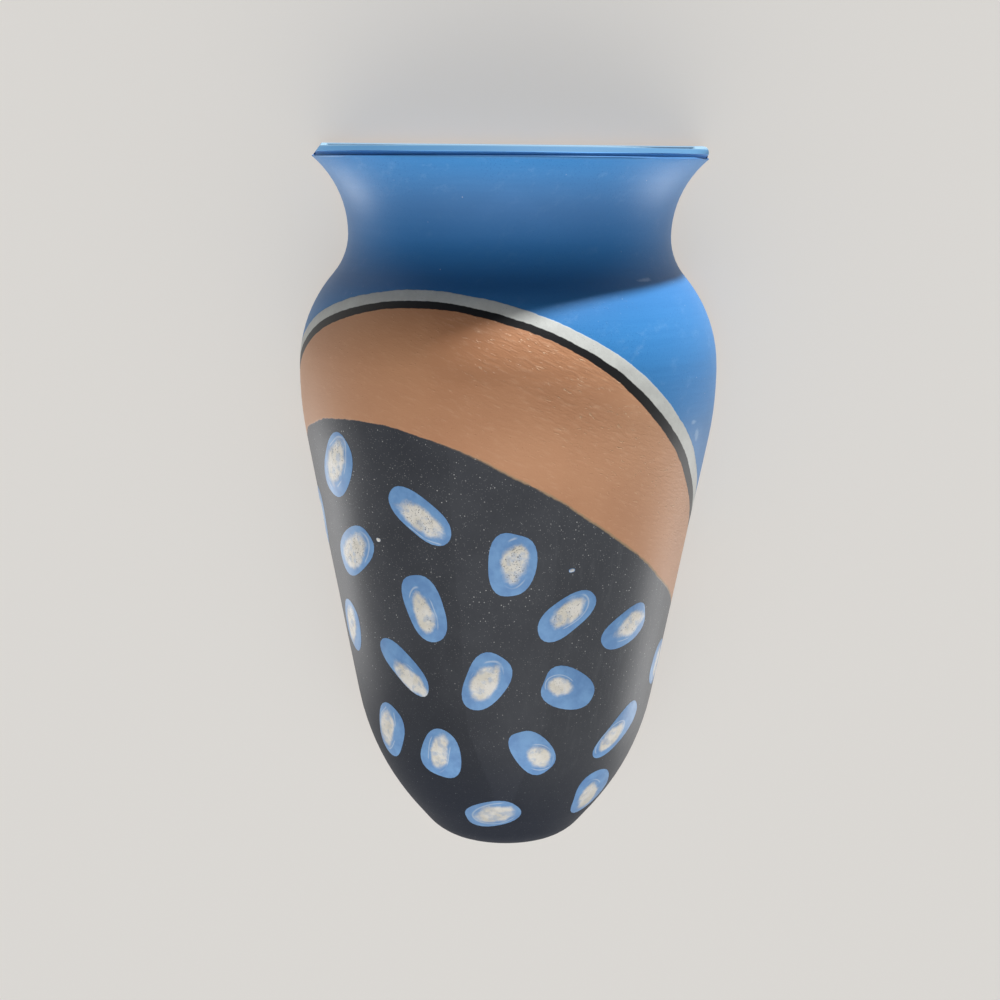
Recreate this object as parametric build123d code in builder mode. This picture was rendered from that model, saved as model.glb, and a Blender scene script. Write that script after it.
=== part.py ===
"""Hanging wall vase: a half-round fired clay vase with a flat back, hung on one wall screw.

Frame: millimetres, +Z up, the room is towards -Y and the wall is the plane Y = 0.
The origin is where the wall screw's axis meets the wall.
Heights in the clay sizes below are measured up from the underside of the vase.
"""

import os
from math import atan2, sqrt, tan

from build123d import *

# Clay body: the half-round thrown shell
BASE_RADIUS = 27.5
BASE_ROUND = 25.0
FOOT_RADIUS = 61.0
FOOT_HEIGHT = 37.5
FOOT_ROUND = 115.0
SHOULDER_RADIUS = 93.5
SHOULDER_HEIGHT = 217.0
BELLY_TURN = 17.0
BELLY_STRAIGHT = 2.0
THROAT_RADIUS = 72.0
THROAT_HEIGHT = 275.0
NECK_TURN_RADIUS = 27.0
RIM_RADIUS = 88.0
FLARE_HEIGHT = 34.0
SHELL_WALL = 8.0
RIM_BAND_HEIGHT = 5.0
RIM_EDGE_ROUND = 0.8
RIM_GROOVE_RADIUS = 0.8
RIM_GROOVE_RISE = 1.2

# Clay back: the flat slab that closes the half-round shell
SLAB_THICKNESS = 10.0
SLAB_RISE = 0.8
SLAB_CORNER_INSET = 4.8
SLAB_CORNER_ROUND = 1.5
SLAB_EDGE_ROUND = 2.0

# Hanging height of the wall screw above the underside of the vase
HANG_HEIGHT = 255.0

# Wall screw and wall plug
WALL_SCREW_DIAMETER = 5.0
WALL_SCREW_HEAD_DIAMETER = 9.5
WALL_SCREW_HEAD_HEIGHT = 3.2
WALL_SCREW_TIP_LENGTH = 7.0
WALL_SCREW_TIP_DIAMETER = 1.0
WALL_SCREW_DRIVE_SPAN = 4.8
WALL_SCREW_PAST_PLUG = 4.0
HEAD_EDGE_ROUND = 1.0
DRIVE_WIDTH = 1.1
DRIVE_DEPTH = 1.6
PLUG_DIAMETER = 8.0
PLUG_LENGTH = 40.0
PLUG_NOSE_LENGTH = 4.0
PLUG_NOSE_DIAMETER = 6.4
PLUG_COLLAR_DIAMETER = 11.0
PLUG_COLLAR_THICKNESS = 1.0
PLUG_BORE_CLEARANCE = 0.05
PLUG_SLIT_WIDTH = 1.2
PLUG_SLIT_LENGTH = 27.0
PLUG_RING_COUNT = 5
PLUG_RING_PITCH = 4.5
PLUG_RING_WIDTH = 1.4
PLUG_RING_DEPTH = 0.45
PLUG_RING_START = 7.0

# Keyhole hanger plate, let into the slab
PLATE_WIDTH = 64.0
PLATE_HEIGHT = 30.0
PLATE_THICKNESS = 1.5
PLATE_CORNER_ROUND = 5.0
PLATE_HOLE_SPACING = 48.0
PLATE_RECESS_CLEARANCE = 0.5
HANG_TRAVEL = 12.0
SLOT_CLEARANCE = 0.5
HEAD_HOLE_CLEARANCE = 1.0
SEAT_GAP = 0.3
HEAD_POCKET_DEPTH = 5.0
HEAD_POCKET_CLEARANCE = 1.5

# Machine screws that hold the plate through the slab
BOLT_DIAMETER = 4.0
BOLT_HEAD_DIAMETER = 8.0
BOLT_HEAD_HEIGHT = 2.2
BOLT_DRIVE_SPAN = 4.0
BOLT_END_CHAMFER = 0.5
BOLT_END_PAST_NUT = 1.5
PLATE_HOLE_CLEARANCE = 0.2
SLAB_HOLE_CLEARANCE = 0.5
SEAL_DIAMETER = 12.0
SEAL_THICKNESS = 1.5
WASHER_DIAMETER = 9.0
WASHER_THICKNESS = 0.8
NUT_ACROSS_FLATS = 7.0
NUT_SIDES = 6
NUT_HEIGHT = 3.2
NUT_BORE_CLEARANCE = 0.05

# Bumper pads between the slab and the wall
BUMPER_DIAMETER = 12.0
BUMPER_THICKNESS = 3.0
BUMPER_EDGE_ROUND = 0.6
LOWER_BUMPER_SPREAD = 76.0
LOWER_BUMPER_HEIGHT = 62.0
UPPER_BUMPER_SPREAD = 124.0
UPPER_BUMPER_HEIGHT = 214.0

# Water liner: a D-shaped moulded cup that hangs in the throat by its flange
LINER_WALL = 2.0
LINER_DEPTH = 195.0
LINER_FOOT_RADIUS = 40.0
LINER_THROAT_CLEARANCE = 3.5
LINER_FLANGE_OVERLAP = 1.8
LINER_FLANGE_THICKNESS = 2.0
LINER_FLANGE_SLAB_GAP = 1.0
LINER_BACK_GAP = 10.5
LINER_CORNER_ROUND = 7.0
LINER_FLANGE_CORNER_ROUND = 3.5
LINER_FOOT_ROUND = 5.0

# Places worked out from the sizes above
BASE_Z = -HANG_HEIGHT
SLAB_REAR_Y = -BUMPER_THICKNESS
JOINT_Y = SLAB_REAR_Y - SLAB_THICKNESS
RIM_HEIGHT = THROAT_HEIGHT + FLARE_HEIGHT
RIM_TOP = RIM_HEIGHT + RIM_BAND_HEIGHT
SLAB_TOP = RIM_TOP + SLAB_RISE
belly_height = SHOULDER_HEIGHT - BELLY_TURN
belly_taper = atan2(SHOULDER_RADIUS - FOOT_RADIUS, belly_height - FOOT_HEIGHT)
belly_round = (BELLY_TURN - BELLY_STRAIGHT) / tan(belly_taper / 2)
flare_run = RIM_RADIUS - THROAT_RADIUS
flare_radius = (flare_run**2 + FLARE_HEIGHT**2) / (2 * flare_run)
shoulder_run = SHOULDER_RADIUS - THROAT_RADIUS
shoulder_drop = THROAT_HEIGHT - SHOULDER_HEIGHT
turn_radii_sum = (shoulder_run**2 + shoulder_drop**2) / (2 * shoulder_run)
neck_share = NECK_TURN_RADIUS / turn_radii_sum

vase_axis = Axis((0, JOINT_Y, BASE_Z), (0, 0, -1))
shell_plane = Plane(origin=(0, JOINT_Y, BASE_Z), x_dir=(1, 0, 0), z_dir=(0, -1, 0))
slab_plane = Plane(origin=(0, SLAB_REAR_Y, BASE_Z), x_dir=(1, 0, 0), z_dir=(0, -1, 0))
plate_plane = Plane(origin=(0, SLAB_REAR_Y, 0), x_dir=(1, 0, 0), z_dir=(0, -1, 0))
wall_plane = Plane(origin=(0, 0, 0), x_dir=(-1, 0, 0), z_dir=(0, 1, 0))

os.makedirs("parts", exist_ok=True)


# Outer outline of the vase, from the middle of the base up to the sharp edge of the rim
neck_inflection = (
    THROAT_RADIUS + neck_share * shoulder_run,
    THROAT_HEIGHT - neck_share * shoulder_drop,
)
with BuildLine() as outer_outline:
    lower_body = FilletPolyline(
        (0, 0),
        (BASE_RADIUS, 0),
        (FOOT_RADIUS, FOOT_HEIGHT),
        (SHOULDER_RADIUS, belly_height),
        (SHOULDER_RADIUS, SHOULDER_HEIGHT),
        radius=[BASE_ROUND, FOOT_ROUND, belly_round],
    )
    shoulder_arc = TangentArc(lower_body @ 1, neck_inflection, tangent=(0, 1))
    neck_arc = TangentArc(neck_inflection, (THROAT_RADIUS, THROAT_HEIGHT), tangent=shoulder_arc % 1)
    flare_arc = TangentArc((THROAT_RADIUS, THROAT_HEIGHT), (RIM_RADIUS, RIM_HEIGHT), tangent=(0, 1))


# Front shell: thrown as a full round, cut in half, rim cut level with a groove under the lip
with BuildPart() as front_shell:
    with BuildSketch(shell_plane):
        with BuildLine():
            add(outer_outline.line)
            inner_wall = offset(
                outer_outline.line,
                amount=SHELL_WALL,
                side=Side.LEFT,
                closed=False,
                mode=Mode.ADD,
            )
            Line((0, 0), (0, SHELL_WALL))
            Line(outer_outline.line @ 1, inner_wall @ 0)
        make_face()
    revolve(axis=vase_axis, revolution_arc=180)
    split(bisect_by=Plane.XY.offset(BASE_Z + RIM_TOP), keep=Keep.BOTTOM)
    rim_top_face = front_shell.faces().sort_by(Axis.Z)[-1]
    fillet(rim_top_face.edges().filter_by(GeomType.CIRCLE), radius=RIM_EDGE_ROUND)
    with BuildSketch(shell_plane):
        rim_slope = (flare_arc % 1).rotate(Axis.Z, 90)
        groove_centre = Vector(RIM_RADIUS, RIM_HEIGHT) + rim_slope * (RIM_GROOVE_RISE / rim_slope.Y)
        with Locations(groove_centre):
            Circle(RIM_GROOVE_RADIUS)
    revolve(axis=vase_axis, revolution_arc=180, mode=Mode.SUBTRACT)
front_shell.part.label = "front_shell"
export_step(front_shell.part, "parts/front_shell.step")


# Back slab: flat clay slab with a recess for the hanger plate and a pocket for the screw head
plate_centre = (0, -HANG_TRAVEL / 2)
plate_holes = [(-PLATE_HOLE_SPACING / 2, -HANG_TRAVEL / 2), (PLATE_HOLE_SPACING / 2, -HANG_TRAVEL / 2)]
with BuildPart() as back_slab:
    with BuildSketch(slab_plane):
        with BuildLine():
            add(outer_outline.line)
            rim_corner = Line((RIM_RADIUS, RIM_HEIGHT), (RIM_RADIUS - SLAB_CORNER_INSET, SLAB_TOP))
            Line(rim_corner @ 1, (0, SLAB_TOP))
            Line((0, SLAB_TOP), (0, 0))
        make_face()
        mirror(about=Plane.YZ)
        fillet(
            vertices().filter_by_position(Axis.Y, RIM_HEIGHT, SLAB_TOP),
            radius=SLAB_CORNER_ROUND,
        )
    extrude(amount=SLAB_THICKNESS)
    rear_face = back_slab.faces().sort_by(Axis.Y)[-1]
    fillet(rear_face.outer_wire().edges(), radius=SLAB_EDGE_ROUND)
    with BuildSketch(plate_plane):
        with Locations(plate_centre):
            RectangleRounded(
                PLATE_WIDTH + 2 * PLATE_RECESS_CLEARANCE,
                PLATE_HEIGHT + 2 * PLATE_RECESS_CLEARANCE,
                PLATE_CORNER_ROUND + PLATE_RECESS_CLEARANCE,
            )
    extrude(amount=PLATE_THICKNESS, mode=Mode.SUBTRACT)
    with BuildSketch(plate_plane):
        with Locations(plate_centre):
            SlotCenterToCenter(
                HANG_TRAVEL,
                WALL_SCREW_HEAD_DIAMETER + 2 * HEAD_POCKET_CLEARANCE,
                rotation=90,
            )
    extrude(amount=PLATE_THICKNESS + HEAD_POCKET_DEPTH, mode=Mode.SUBTRACT)
    with BuildSketch(plate_plane):
        with Locations(plate_holes):
            Circle(BOLT_DIAMETER / 2 + SLAB_HOLE_CLEARANCE)
    extrude(amount=SLAB_THICKNESS, mode=Mode.SUBTRACT)
back_slab.part.label = "back_slab"
export_step(back_slab.part, "parts/back_slab.step")


# Hanger plate: pressed steel with a keyhole, lying flush in the slab's recess
slot_end = WALL_SCREW_DIAMETER / 2 + SEAT_GAP
slot_half_width = WALL_SCREW_DIAMETER / 2 + SLOT_CLEARANCE
with BuildPart() as hanger_plate:
    with BuildSketch(plate_plane):
        with Locations(plate_centre):
            RectangleRounded(PLATE_WIDTH, PLATE_HEIGHT, PLATE_CORNER_ROUND)
        with Locations((0, -HANG_TRAVEL)):
            Circle(WALL_SCREW_HEAD_DIAMETER / 2 + HEAD_HOLE_CLEARANCE, mode=Mode.SUBTRACT)
        with BuildLine():
            Line((slot_half_width, slot_end - slot_half_width), (slot_half_width, -HANG_TRAVEL))
            Line((slot_half_width, -HANG_TRAVEL), (-slot_half_width, -HANG_TRAVEL))
            Line((-slot_half_width, -HANG_TRAVEL), (-slot_half_width, slot_end - slot_half_width))
            ThreePointArc(
                (-slot_half_width, slot_end - slot_half_width),
                (0, slot_end),
                (slot_half_width, slot_end - slot_half_width),
            )
        make_face(mode=Mode.SUBTRACT)
        with Locations(plate_holes):
            Circle(BOLT_DIAMETER / 2 + PLATE_HOLE_CLEARANCE, mode=Mode.SUBTRACT)
    extrude(amount=PLATE_THICKNESS)
hanger_plate.part.label = "hanger_plate"
export_step(hanger_plate.part, "parts/hanger_plate.step")


# Hanger screws: two pan-head machine screws through the plate and the slab
bolt_grip = SLAB_THICKNESS + SEAL_THICKNESS + WASHER_THICKNESS + NUT_HEIGHT + BOLT_END_PAST_NUT
with BuildPart() as hanger_screws:
    with BuildSketch(plate_plane):
        with Locations(plate_holes):
            Circle(BOLT_DIAMETER / 2)
    extrude(amount=bolt_grip)
    chamfer(hanger_screws.edges().group_by(Axis.Y)[0], length=BOLT_END_CHAMFER)
    with BuildSketch(plate_plane):
        with Locations(plate_holes):
            Circle(BOLT_HEAD_DIAMETER / 2)
    extrude(amount=-BOLT_HEAD_HEIGHT)
    head_tops = hanger_screws.faces().group_by(Axis.Y)[-1]
    fillet(head_tops.edges(), radius=HEAD_EDGE_ROUND)
    with BuildSketch(plate_plane.offset(-BOLT_HEAD_HEIGHT)):
        with Locations(plate_holes):
            Rectangle(BOLT_DRIVE_SPAN, DRIVE_WIDTH)
            Rectangle(DRIVE_WIDTH, BOLT_DRIVE_SPAN)
    extrude(amount=DRIVE_DEPTH, mode=Mode.SUBTRACT)
hanger_screws.part.label = "hanger_screws"
export_step(hanger_screws.part, "parts/hanger_screws.step")


# Sealing washers: soft rubber against the slab's inside face
seal_plane = plate_plane.offset(SLAB_THICKNESS)
with BuildPart() as sealing_washers:
    with BuildSketch(seal_plane):
        with Locations(plate_holes):
            Circle(SEAL_DIAMETER / 2)
            Circle(BOLT_DIAMETER / 2 + NUT_BORE_CLEARANCE, mode=Mode.SUBTRACT)
    extrude(amount=SEAL_THICKNESS)
sealing_washers.part.label = "sealing_washers"
export_step(sealing_washers.part, "parts/sealing_washers.step")


# Steel washers: between the rubber and the nuts
washer_plane = seal_plane.offset(SEAL_THICKNESS)
with BuildPart() as hanger_washers:
    with BuildSketch(washer_plane):
        with Locations(plate_holes):
            Circle(WASHER_DIAMETER / 2)
            Circle(BOLT_DIAMETER / 2 + PLATE_HOLE_CLEARANCE, mode=Mode.SUBTRACT)
    extrude(amount=WASHER_THICKNESS)
hanger_washers.part.label = "hanger_washers"
export_step(hanger_washers.part, "parts/hanger_washers.step")


# Hex nuts: inside the vase, closing the two screws
nut_plane = washer_plane.offset(WASHER_THICKNESS)
with BuildPart() as hanger_nuts:
    with BuildSketch(nut_plane):
        with Locations(plate_holes):
            RegularPolygon(NUT_ACROSS_FLATS / 2, NUT_SIDES, major_radius=False)
            Circle(BOLT_DIAMETER / 2 + NUT_BORE_CLEARANCE, mode=Mode.SUBTRACT)
    extrude(amount=NUT_HEIGHT)
hanger_nuts.part.label = "hanger_nuts"
export_step(hanger_nuts.part, "parts/hanger_nuts.step")


# Wall plug: ribbed nylon plug, split at its far end, with a collar that stops on the wall
plug_ring_offsets = [PLUG_RING_START + i * PLUG_RING_PITCH for i in range(PLUG_RING_COUNT)]
with BuildPart() as wall_plug:
    with BuildSketch(wall_plane):
        Circle(PLUG_DIAMETER / 2)
    extrude(amount=PLUG_LENGTH - PLUG_NOSE_LENGTH)
    with BuildSketch(wall_plane.offset(PLUG_LENGTH - PLUG_NOSE_LENGTH)):
        Circle(PLUG_DIAMETER / 2)
    with BuildSketch(wall_plane.offset(PLUG_LENGTH)):
        Circle(PLUG_NOSE_DIAMETER / 2)
    loft()
    with BuildSketch(wall_plane):
        Circle(PLUG_COLLAR_DIAMETER / 2)
    extrude(amount=-PLUG_COLLAR_THICKNESS)
    for ring_offset in plug_ring_offsets:
        with BuildSketch(wall_plane.offset(ring_offset)):
            Circle(PLUG_DIAMETER / 2)
            Circle(PLUG_DIAMETER / 2 - PLUG_RING_DEPTH, mode=Mode.SUBTRACT)
        extrude(amount=PLUG_RING_WIDTH, mode=Mode.SUBTRACT)
    with BuildSketch(wall_plane.offset(PLUG_LENGTH)):
        Rectangle(PLUG_SLIT_WIDTH, PLUG_DIAMETER)
    extrude(amount=-PLUG_SLIT_LENGTH, mode=Mode.SUBTRACT)
    with BuildSketch(wall_plane.offset(-PLUG_COLLAR_THICKNESS)):
        Circle(WALL_SCREW_DIAMETER / 2 + PLUG_BORE_CLEARANCE)
    extrude(amount=PLUG_COLLAR_THICKNESS + PLUG_LENGTH, mode=Mode.SUBTRACT)
wall_plug.part.label = "wall_plug"
export_step(wall_plug.part, "parts/wall_plug.step")


# Wall screw: pan-head screw standing out of the plug, its head caught behind the keyhole slot
head_seat = BUMPER_THICKNESS + PLATE_THICKNESS + SEAT_GAP
screw_reach = PLUG_LENGTH + WALL_SCREW_PAST_PLUG
with BuildPart() as wall_screw:
    with BuildSketch(wall_plane.offset(-head_seat)):
        Circle(WALL_SCREW_DIAMETER / 2)
    extrude(amount=head_seat + screw_reach - WALL_SCREW_TIP_LENGTH)
    with BuildSketch(wall_plane.offset(screw_reach - WALL_SCREW_TIP_LENGTH)):
        Circle(WALL_SCREW_DIAMETER / 2)
    with BuildSketch(wall_plane.offset(screw_reach)):
        Circle(WALL_SCREW_TIP_DIAMETER / 2)
    loft()
    with BuildSketch(wall_plane.offset(-head_seat)):
        Circle(WALL_SCREW_HEAD_DIAMETER / 2)
    extrude(amount=-WALL_SCREW_HEAD_HEIGHT)
    head_top = wall_screw.faces().sort_by(Axis.Y)[0]
    fillet(head_top.edges(), radius=HEAD_EDGE_ROUND)
    with BuildSketch(wall_plane.offset(-head_seat - WALL_SCREW_HEAD_HEIGHT)):
        Rectangle(WALL_SCREW_DRIVE_SPAN, DRIVE_WIDTH)
        Rectangle(DRIVE_WIDTH, WALL_SCREW_DRIVE_SPAN)
    extrude(amount=DRIVE_DEPTH, mode=Mode.SUBTRACT)
wall_screw.part.label = "wall_screw"
export_step(wall_screw.part, "parts/wall_screw.step")


# Bumper pads: four soft discs stuck on the slab, standing it off the wall
bumper_spots = [
    (side * spread / 2, height)
    for spread, height in (
        (LOWER_BUMPER_SPREAD, LOWER_BUMPER_HEIGHT),
        (UPPER_BUMPER_SPREAD, UPPER_BUMPER_HEIGHT),
    )
    for side in (-1, 1)
]
with BuildPart() as bumper_pads:
    with BuildSketch(slab_plane):
        with Locations(bumper_spots):
            Circle(BUMPER_DIAMETER / 2)
    extrude(amount=-BUMPER_THICKNESS)
    fillet(bumper_pads.edges().group_by(Axis.Y)[-1], radius=BUMPER_EDGE_ROUND)
bumper_pads.part.label = "bumper_pads"
export_step(bumper_pads.part, "parts/bumper_pads.step")


# Water liner: D-shaped tapered cup whose flange rests on the flare just above the throat
liner_top_radius = THROAT_RADIUS - SHELL_WALL - LINER_THROAT_CLEARANCE
flange_radius = THROAT_RADIUS - SHELL_WALL + LINER_FLANGE_OVERLAP
flare_centre_radius = THROAT_RADIUS + flare_radius
flange_edge_offset = flare_centre_radius - flange_radius - SEAT_GAP
flange_height = THROAT_HEIGHT + sqrt((flare_radius + SHELL_WALL) ** 2 - flange_edge_offset**2)
flange_plane = Plane(origin=(0, JOINT_Y, BASE_Z + flange_height), x_dir=(1, 0, 0), z_dir=(0, 0, 1))
foot_plane = flange_plane.offset(-LINER_DEPTH)


def half_round(radius, back_gap, corner_round):
    """D outline in front of the slab, with its two back corners rounded."""
    Circle(radius)
    with Locations((0, -back_gap)):
        Rectangle(2 * radius, radius, align=(Align.CENTER, Align.MAX), mode=Mode.INTERSECT)
    fillet(vertices(), radius=corner_round)


with BuildPart() as water_liner:
    with BuildSketch(foot_plane):
        half_round(LINER_FOOT_RADIUS, LINER_BACK_GAP, LINER_CORNER_ROUND)
    with BuildSketch(flange_plane):
        half_round(liner_top_radius, LINER_BACK_GAP, LINER_CORNER_ROUND)
    loft()
    foot_edges = water_liner.faces().sort_by(Axis.Z)[0].edges()
    fillet(foot_edges, radius=LINER_FOOT_ROUND)
    with BuildSketch(flange_plane):
        half_round(flange_radius, LINER_FLANGE_SLAB_GAP, LINER_FLANGE_CORNER_ROUND)
    extrude(amount=LINER_FLANGE_THICKNESS)
    with BuildSketch(foot_plane.offset(LINER_WALL)):
        half_round(
            LINER_FOOT_RADIUS - LINER_WALL,
            LINER_BACK_GAP + LINER_WALL,
            LINER_CORNER_ROUND - LINER_WALL,
        )
    with BuildSketch(flange_plane.offset(LINER_FLANGE_THICKNESS)):
        half_round(
            liner_top_radius - LINER_WALL,
            LINER_BACK_GAP + LINER_WALL,
            LINER_CORNER_ROUND - LINER_WALL,
        )
    loft(mode=Mode.SUBTRACT)
water_liner.part.label = "water_liner"
export_step(water_liner.part, "parts/water_liner.step")
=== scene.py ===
from math import atan2, cos, hypot, pi, radians, sin, tau

import bpy
from mathutils import Matrix, Vector


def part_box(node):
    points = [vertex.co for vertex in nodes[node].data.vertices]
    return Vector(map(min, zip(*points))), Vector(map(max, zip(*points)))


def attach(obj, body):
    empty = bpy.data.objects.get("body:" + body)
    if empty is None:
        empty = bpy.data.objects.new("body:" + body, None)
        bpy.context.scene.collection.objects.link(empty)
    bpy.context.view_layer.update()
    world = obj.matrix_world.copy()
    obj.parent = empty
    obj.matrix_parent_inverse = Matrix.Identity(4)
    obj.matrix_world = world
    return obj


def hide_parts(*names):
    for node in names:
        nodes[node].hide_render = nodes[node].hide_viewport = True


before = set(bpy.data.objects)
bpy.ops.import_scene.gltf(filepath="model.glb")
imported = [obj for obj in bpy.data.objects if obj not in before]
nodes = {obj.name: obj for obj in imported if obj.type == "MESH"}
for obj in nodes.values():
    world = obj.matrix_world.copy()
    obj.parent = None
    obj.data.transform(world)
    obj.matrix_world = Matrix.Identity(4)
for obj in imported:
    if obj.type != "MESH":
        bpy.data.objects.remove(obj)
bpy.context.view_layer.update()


# Wall plug: an injection-moulded grey nylon plug, ribbed and split at its far end.
# It is pushed into a drilled hole until its collar stops on the wall.
class Wire:
    """One output of a finish's nodes: arithmetic on it adds Math nodes."""

    def __init__(self, tree, socket=None):
        self.tree = tree
        self.socket = socket

    def node(self, kind, settings, inputs, output=0):
        """Adds a node, sets it, fills or links its sockets, and returns one of its outputs."""
        made = self.tree.nodes.new(kind)
        for name, value in settings.items():
            setattr(made, name, value)
        for name, value in inputs.items():
            if isinstance(value, Wire):
                self.tree.links.new(value.socket, made.inputs[name])
            else:
                made.inputs[name].default_value = value
        return Wire(self.tree, made.outputs[output])

    def math(self, operation, first, second=0.0):
        return self.node("ShaderNodeMath", {"operation": operation}, {0: first, 1: second})

    def __add__(self, other):
        return self.math("ADD", self, other)

    def __sub__(self, other):
        return self.math("SUBTRACT", self, other)

    def __rsub__(self, other):
        return self.math("SUBTRACT", other, self)

    def __mul__(self, other):
        return self.math("MULTIPLY", self, other)

    def __truediv__(self, other):
        return self.math("DIVIDE", self, other)

    __radd__ = __add__
    __rmul__ = __mul__

    def most(self, other):
        return self.math("MAXIMUM", self, other)

    def floor(self):
        return self.math("FLOOR", self)

    def root(self):
        return self.math("SQRT", self)

    def size(self):
        return self.math("ABSOLUTE", self)

    def ramp(self, low, high):
        """0 below low, 1 above high, eased in between."""
        return self.node(
            "ShaderNodeMapRange",
            {"interpolation_type": "SMOOTHSTEP"},
            {"Value": self, "From Min": low, "From Max": high},
        )

    def axes(self):
        """The x, y and z of a vector."""
        split = self.node("ShaderNodeSeparateXYZ", {}, {"Vector": self})
        return [Wire(self.tree, out) for out in split.socket.node.outputs]

    def stretched(self, x, y, z):
        """This place with each axis multiplied, so that a pattern on it is drawn out."""
        return self.node("ShaderNodeVectorMath", {"operation": "MULTIPLY"}, {0: self, 1: (x, y, z)})

    def turned(self, angle):
        """This place turned about the front-to-back axis, so that strokes on it lean."""
        return self.node(
            "ShaderNodeVectorRotate", {"rotation_type": "Y_AXIS"}, {"Vector": self, "Angle": angle}
        )

    def noise(self, scale, detail=3.0, roughness=0.5):
        """Cloudy values around 0.5, in features about 1 / scale metres wide."""
        return self.node(
            "ShaderNodeTexNoise",
            {},
            {"Vector": self, "Scale": scale, "Detail": detail, "Roughness": roughness},
        )

    def specks(self, scale, output):
        """Points about 1 / scale metres apart: the distance to the nearest, or its random colour."""
        return self.node("ShaderNodeTexVoronoi", {}, {"Vector": self, "Scale": scale}, output)

    def blend(self, colour_low, colour_high):
        """Goes from one colour to another as this value goes from 0 to 1."""
        return self.node(
            "ShaderNodeMix",
            {"data_type": "RGBA"},
            {"Factor": self, 6: colour_low, 7: colour_high},
            2,
        )

    def bump(self, depth):
        """A surface normal from this value as a height, depth metres from 0 to 1."""
        return self.node("ShaderNodeBump", {}, {"Height": self, "Distance": depth})


def finish(name):
    """A new material with its Object coordinates and its Principled shader."""
    material = bpy.data.materials.new(name)
    material.use_nodes = True
    tree = material.node_tree
    place = Wire(tree).node("ShaderNodeTexCoord", {}, {}, "Object")
    return material, place, tree.nodes["Principled BSDF"]


def feed(shader, **sockets):
    """Links values to a shader's sockets, whose names are given with _ for a space."""
    for name, value in sockets.items():
        value.tree.links.new(value.socket, shader.inputs[name.replace("_", " ")])


def dress(node, material):
    """Gives a frame node its finish."""
    for slot in nodes[node].material_slots:
        slot.material = material


plug_grey = (0.36, 0.37, 0.37, 1)
plug_dusty = (0.46, 0.46, 0.45, 1)
plug_relief = 0.00008
plug_nylon, place, shader = finish("plug_nylon")
flow = place.stretched(1, 0.25, 1).noise(700, 4)
dust = place.noise(90, 4)
feed(shader, Base_Color=dust.blend(plug_grey, plug_dusty))
feed(shader, Roughness=0.34 + flow * 0.2, Normal=flow.bump(plug_relief))
dress("wall_plug", plug_nylon)


# Wall screw: a zinc-plated steel screw with a pan head and a rolled thread.
# It is driven into the plug until its head stands off the wall by a bumper pad and the plate.
zinc_bright = (0.60, 0.61, 0.61, 1)
zinc_dull = (0.42, 0.43, 0.45, 1)
zinc_tint = (0.55, 0.50, 0.38, 1)
zinc_relief = 0.00006
merge_gap = 0.00001
flat_angle = radians(0.3)
screw_crease = radians(30)
thread_rings = 8
shank_slack = 1.02
wall_screw_shank = 0.0025
wall_thread_start = 0.004
wall_screw_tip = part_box("wall_screw")[1].y


def zinc(name):
    """Plated steel, clouded and finely scratched."""
    material, place, shader = finish(name)
    shader.inputs["Metallic"].default_value = 1.0
    spangle = place.specks(900, "Color").axes()[0]
    cloud = place.noise(160, 5, 0.6)
    scratch = place.stretched(1, 1, 14).noise(420, 3)
    tone = cloud.ramp(0.3, 0.7).blend(zinc_dull, zinc_bright)
    tone = (cloud.ramp(0.55, 0.75) * 0.35).blend(tone, zinc_tint)
    rough = 0.30 + spangle * 0.12 + scratch * 0.18
    feed(shader, Base_Color=tone, Roughness=rough)
    feed(shader, Normal=(spangle * 0.25 + scratch * 0.5).bump(zinc_relief))
    return material


def bench_copy(name, node):
    """A copy of a frame node, merged, alone in edit mode with all of it selected."""
    bpy.ops.object.select_all(action="DESELECT")
    piece = bpy.data.objects.new(name, nodes[node].data.copy())
    bpy.context.scene.collection.objects.link(piece)
    piece.select_set(True)
    bpy.context.view_layer.objects.active = piece
    bpy.ops.object.mode_set(mode="EDIT")
    bpy.ops.mesh.select_all(action="SELECT")
    bpy.ops.mesh.remove_doubles(threshold=merge_gap)
    return piece


def coat(piece, *finishes):
    """Gives a new piece its finishes, in place of any that it was copied with."""
    piece.data.materials.clear()
    for material in finishes:
        piece.data.materials.append(material)


def threaded_copy(name, node, centres, shank, low, high, pitch, depth):
    """A copy of a screw node, with a thread rolled into its shanks from low to high along Y."""
    screw = bench_copy(name, node)
    bpy.ops.mesh.dissolve_limited(angle_limit=flat_angle)
    ring_gap = pitch / thread_rings
    for ring in range(1, int((high - low) / ring_gap)):
        bpy.ops.mesh.select_all(action="SELECT")
        bpy.ops.mesh.bisect(plane_co=(0, low + ring * ring_gap, 0), plane_no=(0, 1, 0))
    bpy.ops.object.mode_set(mode="OBJECT")
    for vertex in screw.data.vertices:
        along = vertex.co.y
        for centre_x, centre_z in centres:
            across, rise = vertex.co.x - centre_x, vertex.co.z - centre_z
            if low < along < high and hypot(across, rise) < shank * shank_slack:
                phase = (along / pitch + atan2(across, rise) / tau) % 1
                tooth = max(0.0, 1 - 4 * abs(phase - 0.5))
                run_in = min(1.0, (along - low) / pitch, (high - along) / pitch)
                inward = depth / shank * (1 - tooth) * run_in
                vertex.co.x -= across * inward
                vertex.co.z -= rise * inward
    bpy.ops.object.shade_smooth_by_angle(angle=screw_crease)
    coat(screw, zinc(name + "_zinc"))
    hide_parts(node)
    return screw


driven_screw = threaded_copy(
    "driven_screw",
    "wall_screw",
    centres=[(0, 0)],
    shank=wall_screw_shank,
    low=wall_thread_start,
    high=wall_screw_tip,
    pitch=0.0022,
    depth=0.0006,
)
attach(driven_screw, "wall_fixing")


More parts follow.
